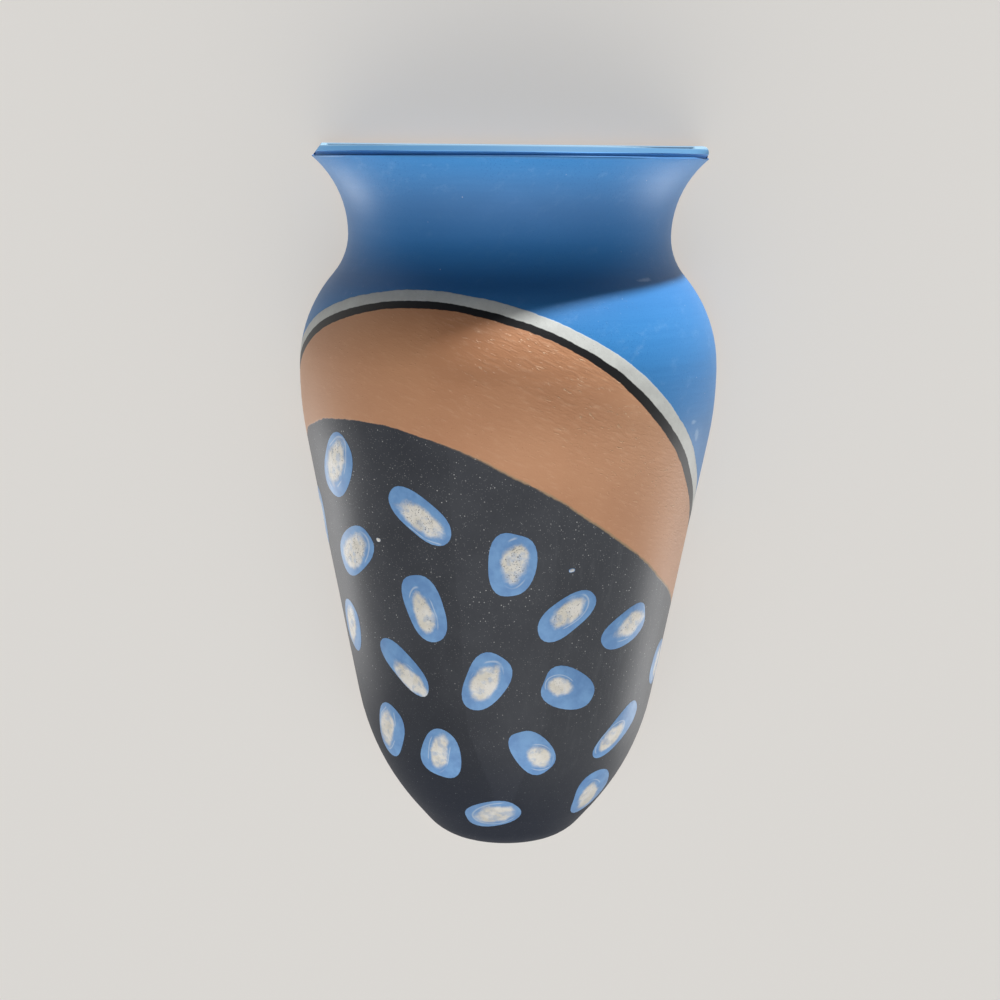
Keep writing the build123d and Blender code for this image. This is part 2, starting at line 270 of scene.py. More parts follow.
# Back slab: a rolled terracotta slab that closes the half-round pot behind, luted on with slip.
# Its edges carry on the paint of the front, its rear is bare fired clay and its inside is
# painted blue as far down as a brush reaches.
slab_low, slab_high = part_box("back_slab")
slab_rear = slab_high.y
joint_y = slab_low.y
base_z = slab_low.z
rim_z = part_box("front_shell")[1].z
rim_radius = 0.0880
rim_corner = 0.0832
rim_band = 0.0050
groove_height = 0.0021
lip_height = 0.0005
worn_highlight_height = 0.0008
clay_light = (0.46, 0.245, 0.142, 1)
clay_dark = (0.36, 0.175, 0.094, 1)
clay_dust = (0.56, 0.37, 0.255, 1)


def bare_clay(place):
    """Fired terracotta: its colour, roughness and height."""
    body = place.noise(24, 6, 0.6)
    grain = place.noise(1100, 3, 0.7)
    scrape = place.stretched(1, 1, 0.06).noise(260, 4, 0.6)
    grog = place.specks(300, "Distance").ramp(0.05, 0.11)
    pores = place.noise(520, 2, 0.5).ramp(0.68, 0.74)
    tone = body.ramp(0.2, 0.8).blend(clay_dark, clay_light)
    tone = (grain.ramp(0.52, 0.8) * 0.4).blend(tone, clay_dust)
    tone = (scrape.ramp(0.55, 0.8) * 0.25).blend(tone, clay_dust)
    tone = (pores * 0.4).blend(tone, clay_dark)
    tone = (0.45 + grog * 0.55).blend(clay_dust, tone)
    return tone, 0.78 + grain * 0.15, grain * 0.5 + scrape * 0.5 + grog * 0.3 - pores * 0.6


# Painted fields meet where tilted planes cut the pot: each plane's height on the axis, and its
# rise for each metre towards the front and towards the right.
blue_edge = (base_z + 0.1862, 0.743, -0.388)
grey_edge = (base_z + 0.1775, 0.765, -0.393)
black_edge = (base_z + 0.1697, 0.805, -0.399)
clay_edge = (base_z + 0.1404, 0.443, -0.453)
# The plane above which strokes are heavier and paler: brushwork, and partly a painted pool of light
# on the upper right.
heavy_lit_edge = (base_z + 0.1380, 0.805, -0.399)
paint_blue = (0.038, 0.205, 0.490, 1)
paint_blue_thin = (0.060, 0.250, 0.545, 1)
paint_blue_deep = (0.022, 0.150, 0.400, 1)
paint_blue_pale = (0.160, 0.340, 0.600, 1)
paint_blue_neck_shade = (0.019, 0.120, 0.325, 1)
paint_blue_rim_shade = (0.058, 0.180, 0.335, 1)
paint_blue_groove_light = (0.085, 0.290, 0.600, 1)
paint_blue_worn_highlight = (0.165, 0.285, 0.390, 1)
paint_blue_lip = (0.040, 0.140, 0.310, 1)
paint_blue_knock = (0.32, 0.49, 0.70, 1)
paint_grey = (0.565, 0.585, 0.56, 1)
paint_grey_dull = (0.49, 0.505, 0.485, 1)
paint_black = (0.009, 0.009, 0.010, 1)
paint_clay = (0.505, 0.255, 0.134, 1)
paint_clay_light = (0.66, 0.410, 0.262, 1)
paint_clay_dark = (0.435, 0.206, 0.104, 1)
paint_clay_tick = (0.70, 0.475, 0.300, 1)
paint_edge = (0.30, 0.205, 0.115, 1)
paint_charcoal = (0.019, 0.023, 0.033, 1)
paint_charcoal_grey = (0.032, 0.037, 0.048, 1)
paint_charcoal_foot_shade = (0.002, 0.006, 0.017, 1)
paint_charcoal_pale = (0.060, 0.067, 0.078, 1)
speck_white = (0.62, 0.63, 0.62, 1)
paint_shine = 0.32
paint_relief = 0.00009
# Heights above the base where a painted shade darkens the blue in the throat of the neck, and where
# it fades again.
neck_shade_from = (0.236, 0.258)
neck_shade_to = (0.285, 0.309)
# Knocks in the blue on the right: place across, height above the base, reach across and up.
knocks = [
    (0.057, 0.258, 0.0036, 0.0011),
    (0.080, 0.197, 0.0014, 0.0011),
    (0.082, 0.191, 0.0013, 0.0032),
]


def blue_paint(place, wobble, cloud, grain):
    """Blue drawn round with a soft brush, thin in places: its colour, and where the rim is."""
    x, y, z = place.axes()
    front = joint_y - y
    above_base = z - base_z
    brushing = place.stretched(1, 1, 22).noise(24, 6, 0.65)
    scuffs = place.turned(radians(28)).stretched(1, 1, 1.7).noise(110, 8, 0.75)
    fleck_random = place.specks(210, "Color").axes()[0]
    flecks = (1 - place.specks(210, "Distance").ramp(0.03, 0.075)) * fleck_random.ramp(0.62, 0.9)
    dots = (1 - place.specks(760, "Distance").ramp(0.16, 0.30)) * cloud.ramp(0.36, 0.6)
    blue = brushing.ramp(0.2, 0.8).blend(paint_blue_deep, paint_blue_thin)
    blue = (0.6 + cloud * 0.4).blend(blue, paint_blue)
    blue = (grain.ramp(0.54, 0.74) * 0.4).most(dots * 0.6).blend(blue, paint_blue_deep)
    blue = (scuffs.ramp(0.52, 0.78) * 0.45).blend(blue, paint_blue_pale)
    # Painted shade: the blue darkens in the throat of the neck, most at the front.
    neck_shade = above_base.ramp(*neck_shade_from) * (1 - above_base.ramp(*neck_shade_to))
    blue = (neck_shade * (0.75 - x.size().ramp(0.03, 0.075) * 0.35)).blend(blue, paint_blue_neck_shade)
    blue = (flecks * 0.4).blend(blue, speck_white)
    for across, up, wide, tall in knocks:
        off_x, off_z = (x - across) / wide, (above_base - up) / tall
        knock = 1 - ((off_x * off_x + off_z * off_z).root() + (scuffs - 0.5) * 2.5).ramp(0.4, 1.1)
        blue = (knock * 0.5).blend(blue, paint_blue_knock)

    # The rim: dark under its groove, painted lighter in the groove against its shadow, a darker blue
    # above it as painted shade against the light from above, and pale along the top edge, partly
    # wear and partly a painted highlight
    up_band = z - rim_z + rim_band
    on_rim = up_band.ramp(-0.0002, 0.0002)
    in_groove = 1 - (up_band - groove_height).ramp(-0.0002, 0.0002)
    on_lip = 1 - (up_band - lip_height).ramp(-0.00015, 0.00015)
    band = in_groove.blend(paint_blue_rim_shade, on_lip.blend(paint_blue_groove_light, paint_blue_lip))
    from_axis = (x * x + front * front).root()
    at_corner = (from_axis - rim_corner + 0.0012).ramp(0, 0.0006)
    off_slab = (front + 0.0010).ramp(0, 0.0003)
    worn = (z + wobble * 0.1 - rim_z + worn_highlight_height).ramp(-0.0003, 0.0003) * at_corner.most(off_slab)
    return on_rim.blend(blue, worn.blend(band, paint_blue_worn_highlight)), on_rim


def terracotta_paint(place, cloud, grain, smears, heavy_lit):
    """Terracotta colour in short leaning strokes: its colour, the strokes and where they dragged."""
    x = place.axes()[0]
    hatching = place.turned(radians(-24)).stretched(0.7, 1, 3.2).noise(230, 4, 0.65)
    drags = place.turned(radians(-24)).stretched(0.55, 1, 2.2).noise(520, 2, 0.5)
    clay = cloud.ramp(0.25, 0.75).blend(paint_clay_dark, paint_clay)
    # Painted sheen: the terracotta is paler towards both sides.
    thin = (x + 0.005).size().ramp(0.025, 0.085)
    clay = (thin * 0.32).blend(clay, paint_clay_light)
    dragged = drags.ramp(0.64, 0.71) * smears.ramp(0.38, 0.55) * (0.2 + heavy_lit * 0.8)
    clay = (hatching.ramp(0.5, 0.78) * (0.25 + heavy_lit * 0.25)).blend(clay, paint_clay_light)
    clay = (dragged * 0.75).blend(clay, paint_clay_tick)
    return (grain.ramp(0.6, 0.8) * 0.3).blend(clay, paint_clay_dark), hatching, dragged


def charcoal_paint(place):
    """Charcoal over pale grog, paler towards the right, and darker and bluer at the foot, partly its
    paint and partly painted shade: its colour, the grog and the foot.
    """
    x, y, z = place.axes()
    above_base = z - base_z

    def grog_layer(spacing, size, portion):
        reach = place.specks(spacing, "Distance")
        random = place.specks(spacing, "Color").axes()[0]
        return (1 - reach.ramp(size * 0.4, size)) * random.ramp(1 - portion, 1.05 - portion)

    patches = place.noise(30, 5, 0.6)
    runs = place.stretched(1, 1, 0.07).noise(170, 3, 0.6)
    grog = grog_layer(480, 0.16, 0.70) * (0.3 + patches.ramp(0.4, 0.6) * 0.7)
    grog = grog.most(grog_layer(1050, 0.22, 0.80) * 0.3)
    grog = grog * (0.2 + above_base.ramp(0.03, 0.16) * 0.8)
    # Painted shade, partly the paint itself: the charcoal darkens and turns bluer towards the foot,
    # more on the left.
    foot = 1 - (above_base + x * 0.4).ramp(0.012, 0.085)
    charcoal = patches.ramp(0.3, 0.7).blend(paint_charcoal, paint_charcoal_grey)
    charcoal = (runs.ramp(0.55, 0.8) * 0.5).blend(charcoal, paint_charcoal_grey)
    # The charcoal is paler towards the right, in streaks.
    paler_right = x.ramp(-0.015, 0.045) * above_base.ramp(0.015, 0.05)
    streaks = place.stretched(1, 1, 0.05).noise(420, 2, 0.6).ramp(0.52, 0.72)
    charcoal = (paler_right * (0.35 + streaks * 0.35)).blend(charcoal, paint_charcoal_pale)
    charcoal = (foot * 0.9).blend(charcoal, paint_charcoal_foot_shade)
    return (grog * 0.75).blend(charcoal, speck_white), grog, foot


def painted_clay(place):
    """Satin paint in its five fields: colour, roughness and height."""
    x, y, z = place.axes()
    front = joint_y - y
    wobble = (place.noise(45, 2) - 0.5) * 0.0022 + (place.noise(420, 2) - 0.5) * 0.0008

    def over(edge):
        height, to_front, to_right = edge
        return z + wobble - front * to_front - x * to_right - height

    def above(edge, softness=0.00025):
        return over(edge).ramp(-softness, softness)

    def along(edge, width):
        return 1 - over(edge).size().ramp(width * 0.4, width)

    strokes = place.stretched(1, 1, 30).noise(60, 4, 0.6)
    cloud = place.noise(22, 4)
    grain = place.noise(1300, 3, 0.6)
    smears = place.stretched(1, 1, 1.8).noise(70, 6, 0.7)
    # Heavier, paler strokes on the upper right of the terracotta: brushwork, and partly a painted
    # pool of light.
    heavy_lit = above(heavy_lit_edge, 0.024) * (x + 0.005).ramp(-0.04, 0.02)
    blue, on_rim = blue_paint(place, wobble, cloud, grain)
    grey = place.noise(160, 6, 0.75).ramp(0.35, 0.7).blend(paint_grey_dull, paint_grey)
    grey = (grain.ramp(0.66, 0.74) * 0.5).blend(grey, paint_charcoal_grey)
    clay, hatching, dragged = terracotta_paint(place, cloud, grain, smears, heavy_lit)
    charcoal, grog, foot = charcoal_paint(place)

    tone = above(clay_edge).blend(charcoal, clay)
    edge_line = along(clay_edge, 0.0008) * (x + 0.01).ramp(-0.03, 0.03) * smears.ramp(0.32, 0.5)
    tone = (edge_line * 0.8).blend(tone, paint_edge)
    tone = above(black_edge).blend(tone, paint_black)
    tone = above(grey_edge).blend(tone, grey)
    tone = above(blue_edge).blend(tone, blue)

    on_clay = above(clay_edge) - above(black_edge)
    rough = 0.44 + strokes * 0.05 + foot * 0.3 + on_clay * (0.05 + hatching * 0.1) + on_rim * 0.25
    lines = above(black_edge) - above(blue_edge)
    brushwork = hatching * (0.7 + heavy_lit * 2.2) + dragged * 2.2
    height = strokes * 0.15 + grain * 0.35 + on_clay * brushwork
    height = height + lines * 0.9 + grog * 0.8 + above(clay_edge, 0.0006) * 0.6
    return tone, rough, height


brush_reach = base_z + 0.245
plate_low, plate_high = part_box("hanger_plate")
recess_margin = 0.0006
recess_soft = 0.0002
paint_wrap = 0.0022


def ragged_edge(place):
    """How far the edge of brushed paint strays, in metres."""
    return (place.noise(120, 4, 0.6) - 0.5) * 0.0045


def inside_paint(place):
    """Blue on the inside: its colour, and where the brush didn't reach."""
    z = place.axes()[2]
    unbrushed = 1 - (z + ragged_edge(place) * 6 - brush_reach).ramp(-0.001, 0.001)
    return place.stretched(1, 1, 12).noise(40, 4).blend(paint_blue_deep, paint_blue), unbrushed


slab_clay, place, shader = finish("slab_clay")
x, y, z = place.axes()
in_recess = (
    (x - plate_low.x + recess_margin).ramp(0, recess_soft)
    * (plate_high.x + recess_margin - x).ramp(0, recess_soft)
    * (z - plate_low.z + recess_margin).ramp(0, recess_soft)
    * (plate_high.z + recess_margin - z).ramp(0, recess_soft)
)
behind = (y + ragged_edge(place) - slab_rear + paint_wrap).ramp(-0.0004, 0.0004)
inside = 1 - (y - joint_y).ramp(0.00002, 0.00006)
inner_tone, unbrushed = inside_paint(place)
# Painted shade: the slab's inside above the rim takes the rim's darkened blue.
inner_tone = (z - rim_z + 0.002).ramp(-0.001, 0.001).blend(inner_tone, paint_blue_rim_shade)
bare = behind.most(in_recess).most(inside * unbrushed)
paint_tone, paint_rough, paint_height = painted_clay(place)
clay_tone, clay_rough, clay_height = bare_clay(place)
tone = bare.blend(inside.blend(paint_tone, inner_tone), clay_tone)
rough = paint_rough + bare * (clay_rough - paint_rough)
height = paint_height + bare * (clay_height * 2.5 - paint_height)
feed(shader, Base_Color=tone, Roughness=rough, Normal=height.bump(paint_relief))
shader.inputs["Specular IOR Level"].default_value = paint_shine

edge_round = 0.0006
top_chamfer = slab_high.z - rim_z
flat_gap = 0.00002
plate_clear = 0.002
plate_reach = 0.04
slab_crease = radians(18)
# The cosine of the turn between two faces, under which their edge is sharp.
sharp_turn = 0.8
rolled_slab = bench_copy("rolled_slab", "back_slab")
slab_mesh = rolled_slab.data
bpy.ops.mesh.dissolve_limited(angle_limit=flat_angle)
bpy.ops.mesh.select_all(action="DESELECT")
bpy.ops.mesh.select_mode(type="EDGE")


def soften(picked, width, steps):
    """Bevels those sharp edges of the slab whose two ends are both picked."""
    bpy.ops.object.mode_set(mode="OBJECT")
    sides = {}
    for face in slab_mesh.polygons:
        for key in face.edge_keys:
            sides.setdefault(key, []).append(face.normal.copy())
    for edge in slab_mesh.edges:
        first_side, second_side = sides[edge.key]
        ends = [slab_mesh.vertices[index].co for index in edge.vertices]
        edge.select = first_side.dot(second_side) < sharp_turn and all(picked(end) for end in ends)
    bpy.ops.object.mode_set(mode="EDIT")
    bpy.ops.mesh.bevel(offset=width, segments=steps, affect="EDGES")
    bpy.ops.mesh.select_all(action="DESELECT")


def on_rear(spot):
    beside = plate_low.z - plate_clear < spot.z < plate_high.z + plate_clear
    return abs(spot.y - slab_rear) < flat_gap and not (beside and abs(spot.x) < plate_reach)


def on_top_front(spot):
    return spot.z > slab_high.z - flat_gap and spot.y < joint_y + flat_gap


# The right end of the rim, in slab and shell alike, was rubbed blunt where the left was trimmed.
blunt_reach = 0.0876
blunt_round = 0.0032
blunt_from = rim_z - rim_band
# How far in from the rim's corner the slab is pushed out with it.
blunt_grip = 0.003
# Depths under the slab's top where it is cut across, so that its blunt end comes out round.
blunt_cuts = (0.0002, 0.0007, 0.0012, 0.0018, 0.0026, 0.0037)


def blunt(height, top):
    """How far the rim's right end stands out past its trimmed slope, which ends at the top."""
    above_round = max(0.0, height - slab_high.z + blunt_round)
    edge = blunt_reach - blunt_round + max(0.0, blunt_round**2 - above_round**2) ** 0.5
    slope = (rim_radius - rim_corner) / (top - rim_z + rim_band)
    return max(0.0, edge - rim_radius + (height - rim_z + rim_band) * slope)


soften(on_rear, edge_round, 3)
soften(on_top_front, top_chamfer, 1)
for cut in blunt_cuts:
    bpy.ops.mesh.select_all(action="SELECT")
    bpy.ops.mesh.bisect(plane_co=(0, 0, slab_high.z - cut), plane_no=(0, 0, 1))
bpy.ops.object.mode_set(mode="OBJECT")
for vertex in slab_mesh.vertices:
    if vertex.co.x > rim_corner - blunt_grip and vertex.co.z > blunt_from:
        vertex.co.x += blunt(vertex.co.z, slab_high.z)
bpy.ops.object.mode_set(mode="EDIT")
bpy.ops.mesh.select_all(action="SELECT")
bpy.ops.mesh.normals_make_consistent(inside=False)
bpy.ops.object.mode_set(mode="OBJECT")
bpy.ops.object.shade_smooth_by_angle(angle=slab_crease)
coat(rolled_slab, slab_clay)
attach(rolled_slab, "vase")
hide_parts("back_slab")


# Front shell: half of a pot thrown on the wheel in red earthenware, cut down its middle, trimmed
# level at the rim and painted outside. Its wall keeps the wheel's soft spiral and a slight wobble.
turn_steps = 96
profile_step = 0.0032
band_step = 0.0008
halvings = 6
rim_round = 0.0008
# The rim's blunt end: the turns where it starts and is full, and how far in from the rim's corner
# the wall is pushed out with it.
blunt_start = radians(64)
blunt_full = radians(88)
blunt_wall = 0.0015
# Near the joint the rim rises to the top of the slab.
rim_rise_run = 0.014
rim_rise_drop = 0.0028
wobble_depth = 0.0011
wobble_fade = 0.014
ring_pitch = 0.010
ring_depth = 0.0005
shell_crease = radians(28)
axis_point = (0, joint_y, 0)

# The profile of the wall, cut at the front, softened at the rim and divided
thrown_shell = bench_copy("thrown_shell", "front_shell")
shell_mesh = thrown_shell.data
bpy.ops.mesh.bisect(plane_co=axis_point, plane_no=(1, 0, 0), clear_inner=True, clear_outer=True)
bpy.ops.mesh.select_all(action="SELECT")
bpy.ops.mesh.remove_doubles(threshold=flat_gap)
bpy.ops.mesh.dissolve_limited(angle_limit=flat_angle)
bpy.ops.mesh.select_all(action="DESELECT")
bpy.ops.mesh.select_mode(type="VERT")
bpy.ops.object.mode_set(mode="OBJECT")
for vertex in shell_mesh.vertices:
    vertex.select = vertex.co.z > rim_z - flat_gap
bpy.ops.object.mode_set(mode="EDIT")
bpy.ops.mesh.bevel(offset=rim_round, segments=3, affect="VERTICES")
for halving in range(halvings):
    bpy.ops.object.mode_set(mode="OBJECT")
    for edge in shell_mesh.edges:
        first, second = (shell_mesh.vertices[index].co for index in edge.vertices)
        on_band = min(first.z, second.z) > blunt_from - flat_gap
        edge.select = (first - second).length > (band_step if on_band else profile_step)
    bpy.ops.object.mode_set(mode="EDIT")
    bpy.ops.mesh.select_mode(type="EDGE")
    if shell_mesh.total_edge_sel:
        bpy.ops.mesh.subdivide(number_cuts=1)

# Thrown: the profile is turned to one side of the joint, spun to the other and closed there
bpy.ops.mesh.select_mode(type="VERT")
bpy.ops.mesh.select_all(action="SELECT")
bpy.ops.transform.rotate(value=pi / 2, orient_axis="Z", center_override=axis_point)
bpy.ops.mesh.spin(steps=turn_steps, angle=-pi, center=axis_point, axis=(0, 0, 1))
bpy.ops.mesh.select_all(action="SELECT")
bpy.ops.mesh.remove_doubles(threshold=flat_gap)
bpy.ops.mesh.select_all(action="DESELECT")
bpy.ops.mesh.select_non_manifold()
bpy.ops.mesh.edge_face_add()
bpy.ops.mesh.select_all(action="SELECT")
bpy.ops.mesh.normals_make_consistent(inside=False)
bpy.ops.object.mode_set(mode="OBJECT")


def share(value):
    """A value held between 0 and 1."""
    return min(1.0, max(0.0, value))


clear_of_joint = thrown_shell.vertex_groups.new(name="clear_of_joint")
facings = [vertex.normal.copy() for vertex in shell_mesh.vertices]
for vertex, facing in zip(shell_mesh.vertices, facings):
    out = joint_y - vertex.co.y
    radius = max(hypot(vertex.co.x, out), 0.001)
    inward = (facing.y * out - facing.x * vertex.co.x) / radius
    clear = share(out / wobble_fade)
    clear_of_joint.add([vertex.index], clear, "REPLACE")
    turn = atan2(vertex.co.x, out)
    rise = top_chamfer * max(0.0, 1 - out / rim_rise_run) ** 2
    vertex.co.z += rise * share(1 + (vertex.co.z - rim_z) / rim_rise_drop)
    if vertex.co.z > blunt_from and radius > rim_corner - blunt_wall:
        part = share((turn - blunt_start) / (blunt_full - blunt_start))
        push = part * part * (3 - 2 * part) * blunt(vertex.co.z, rim_z + rise) / radius
        vertex.co.x *= 1 + push
        vertex.co.y -= out * push
    if inward > 0.7:
        ridge = ring_depth * clear * sin(tau * vertex.co.z / ring_pitch + turn)
        vertex.co.x *= 1 + ridge / radius
        vertex.co.y -= out * ridge / radius
hand_wobble = bpy.data.textures.new("hand_wobble", "CLOUDS")
hand_wobble.noise_scale = 0.07
hand_wobble.noise_depth = 1
wobble = thrown_shell.modifiers.new("hand_wobble", "DISPLACE")
wobble.texture = hand_wobble
wobble.texture_coords = "LOCAL"
wobble.strength = wobble_depth
wobble.mid_level = 0.85
wobble.vertex_group = "clear_of_joint"
bpy.ops.object.modifier_apply(modifier="hand_wobble")
bpy.ops.object.shade_smooth_by_angle(angle=shell_crease)

shell_paint, place, shader = finish("shell_paint")
paint_tone, paint_rough, paint_height = painted_clay(place)
feed(shader, Base_Color=paint_tone, Roughness=paint_rough, Normal=paint_height.bump(paint_relief))
shader.inputs["Specular IOR Level"].default_value = paint_shine

inside_relief = 0.00015
shell_inside, place, shader = finish("shell_inside")
inner_tone, unbrushed = inside_paint(place)
clay_tone, clay_rough, clay_height = bare_clay(place)
feed(shader, Base_Color=unbrushed.blend(inner_tone, clay_tone))
feed(shader, Roughness=clay_rough - (1 - unbrushed) * 0.35)
feed(shader, Normal=(clay_height * (0.4 + unbrushed)).bump(inside_relief))

rim_edge = 0.001
floor_reach = 0.05
coat(thrown_shell, shell_paint, shell_inside)
for face in shell_mesh.polygons:
    out = joint_y - face.center.y
    facing_axis = face.normal.y * out - face.normal.x * face.center.x
    on_floor = face.normal.z > 0.5 and face.center.z < base_z + floor_reach
    face.material_index = int(facing_axis > 0 and face.center.z < rim_z - rim_edge or on_floor)
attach(thrown_shell, "vase")
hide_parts("front_shell")


# Paint dabs: blue oval touches of thick paint on the dark field, each with a smaller cream touch
# laid in its middle. They are brushed on last and stand a little proud of the field.
dab_thickness = 0.00030
dab_gap = 0.00006
dab_rings = 3
dab_ring_width = 0.1
dab_sides = 32
# A dab narrower than this, in millimetres, is laid on thinner.
full_width = 10
# The hand's share in a dab's outline: flatter ends, a waving edge and one wider end.
hand_flat = 0.07
hand_wave = 0.035
hand_wide = 0.12
brush_start = 0.2
# Each dab's cream touch has its own stretch of the map, so many touches' half-lengths from the next.
map_step = 10
# Turn from the front in degrees, height above the base, length, width and lean of each blue dab;
# then the middle, length and width of its cream touch. Lengths are in millimetres.
dabs = [
    (-56, 177, 34, 21, 52, 1, 1, 25, 12),
    (-26, 160, 32, 18, -36, 2, -1, 26, 11),
    (-54, 140, 33, 19, 32, -1, 0, 24, 13),
    (1.5, 140, 31, 20, 85, 1, -1, 19, 11),
    (-27, 119, 31, 20, -75, 2, -1, 20, 10),
    (20, 117, 29, 17, 35, 1, 1, 18, 10),
    (44, 108, 30, 16, 25, 3, 0, 19, 10),
    (-68, 103, 26, 19, 62, 0, 0, 20, 11),
    (-38.5, 90, 31, 15, -42, 5, -2, 22, 9),
    (-7, 87, 29, 19, 62, 0, 0, 19, 11),
    (23, 83, 29, 18, -23, -5, 0, 12, 9),
    (76, 85, 22, 18, 80, 0, 0, 15, 9),
    (-53, 57, 29, 19, 60, 0, 2, 22, 10),
    (-27, 51, 27, 20, 72, 1, 1, 20, 9),
    (11, 54, 28, 16, -54, 4, 1, 13, 10),
    (51, 59, 33, 15, 42, -5, 1, 17, 9),
    (50, 29, 27, 24, 115, -2, 2, 19, 12),
    (-7, 21, 28, 17, 23, 2, 0, 19, 12),
    (-82, 150, 30, 16, 75, 0, 0, 18, 8),
    (-41.5, 147, 2.4, 2, 0, 0, 0, 2.4, 1.9),
    (20, 137, 2.8, 1.9, 10, 0, 0, 2.6, 1.8),
]
bpy.ops.object.select_all(action="DESELECT")
dab_pieces = []
for count, sizes in enumerate(dabs):
    turn, height, length, width, lean, along, across, cream_length, cream_width = sizes
    bpy.ops.mesh.primitive_circle_add(vertices=dab_sides, radius=1, fill_type="NGON")
    dab = bpy.context.object
    bpy.ops.object.mode_set(mode="EDIT")
    bpy.ops.mesh.select_all(action="SELECT")
    for ring in range(dab_rings):
        bpy.ops.mesh.inset(thickness=dab_ring_width + dab_ring_width * ring)
    bpy.ops.mesh.poke()
    bpy.ops.object.mode_set(mode="OBJECT")

    # Its outline drawn by hand, a little different from dab to dab
    body = dab.vertex_groups.new(name="body")
    touch = dab.data.uv_layers.active
    for vertex in dab.data.vertices:
        spread = min(1.0, vertex.co.xy.length)
        body.add([vertex.index], (1 - spread**3) * min(1, width / full_width), "REPLACE")
        around = atan2(vertex.co.y, vertex.co.x)
        flat_end = hand_flat * cos(2 * around + 0.4 * sin(count)) * sin(1.7 * count)
        hand = flat_end - hand_wave * cos(4 * around) + hand_wave * sin(3 * around + 2 * count)
        wide_end = hand_wide * sin(2.3 * count) * cos(around)
        vertex.co.x *= (1 + hand) * length / 2000
        vertex.co.y *= (1 + hand) * (1 + wide_end) * width / 2000
    for loop in dab.data.loops:
        spot = dab.data.vertices[loop.vertex_index].co * 1000
        touch.data[loop.index].uv = (
            (spot.x - along) * 2 / cream_length + map_step * count,
            (spot.y - across) * 2 / cream_width,
        )

    # Brought to its place on the shell, square to the wall there
    outward = Vector((sin(radians(turn)), -cos(radians(turn)), 0))
    rightward = Vector((cos(radians(turn)), sin(radians(turn)), 0))
    start = Vector((0, joint_y, base_z + height / 1000)) + outward * brush_start
    landed, spot, facing, face_index = thrown_shell.ray_cast(start, -outward)
    upward = facing.cross(rightward)
    lie = Matrix((rightward, upward, facing)).transposed().to_4x4()
    dab.data.transform(Matrix.Translation(spot) @ lie @ Matrix.Rotation(radians(lean), 4, "Z"))
    dab_pieces.append(dab)
for dab in dab_pieces:
    dab.select_set(True)
bpy.context.view_layer.objects.active = dab_pieces[0]
bpy.ops.object.join()
paint_dabs = bpy.context.object
paint_dabs.name = "paint_dabs"
laid = paint_dabs.modifiers.new("laid", "SHRINKWRAP")
laid.target = thrown_shell
laid.wrap_method = "NEAREST_SURFACEPOINT"
laid.wrap_mode = "ABOVE_SURFACE"
laid.offset = dab_gap
bpy.ops.object.modifier_apply(modifier="laid")
full = paint_dabs.modifiers.new("full", "DISPLACE")
full.strength = dab_thickness
full.mid_level = 0
full.vertex_group = "body"
bpy.ops.object.modifier_apply(modifier="full")
bpy.ops.object.shade_smooth()

dab_blue = (0.135, 0.310, 0.580, 1)
dab_blue_deep = (0.085, 0.225, 0.480, 1)
dab_cream = (0.71, 0.69, 0.64, 1)
dab_cream_warm = (0.60, 0.57, 0.49, 1)
dab_white = (0.62, 0.68, 0.72, 1)
dab_pit_and_shade = (0.045, 0.055, 0.075, 1)
dab_paint, place, shader = finish("dab_paint")
touch_map = paint_dabs.data.uv_layers.active.name
u, v = place.node("ShaderNodeUVMap", {"uv_map": touch_map}, {}).axes()[:2]
u = u - ((u + map_step / 2) / map_step).floor() * map_step
reach = (u * u + v * v).root()
above_base = place.axes()[2] - base_z

# Blue, with pale arcs where the brush turned
smear = place.noise(150, 4, 0.6)
sweep = place.noise(65, 1)
arcs = 1 - (reach + (sweep - 0.5) * 0.6 - 1.22).size().ramp(0.02, 0.07)
arcs = arcs * sweep.ramp(0.54, 0.60)
tone = smear.ramp(0.3, 0.7).blend(dab_blue_deep, dab_blue)
tone = (arcs * 0.4).blend(tone, dab_white)

# Cream, soft at its edge, smudged, and drier and more pitted higher up
shape = place.noise(130, 2)
fine = place.noise(1300, 3, 0.65)
cream = 1 - (reach + (shape - 0.5) * 0.8 + (fine - 0.5) * 0.25).ramp(0.70, 1.12)
smudge = place.noise(210, 3, 0.6).ramp(0.48, 0.66)
ragged = place.noise(330, 4, 0.6).ramp(0.43, 0.58)
dry = 0.2 + above_base.ramp(0.07, 0.13) * 0.8
pits = place.noise(1700, 2, 0.55).ramp(0.57, 0.65) * ragged * dry
cream_tone = smear.ramp(0.35, 0.65).blend(dab_cream_warm, dab_cream)
tone = (cream * (0.98 - smudge * 0.4)).blend(tone, cream_tone)
tone = (cream * pits * 0.85).blend(tone, dab_pit_and_shade)
# Painted shade: the dabs darken towards the foot.
tone = ((1 - above_base.ramp(0.015, 0.045)) * 0.3).blend(tone, dab_pit_and_shade)
strokes = place.noise(700, 3, 0.6)
feed(shader, Base_Color=tone, Roughness=0.40 + strokes * 0.15)
feed(shader, Normal=(strokes * 0.5 + cream * (1.2 - pits)).bump(paint_relief))
coat(paint_dabs, dab_paint)
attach(paint_dabs, "vase")


# Hanger plate: a stamped zinc-plated steel plate with a keyhole, let into the back of the slab.
# The wall screw's head goes through the keyhole's wide end, and its narrow end hangs on the shank.
dress("hanger_plate", zinc("plate_zinc"))


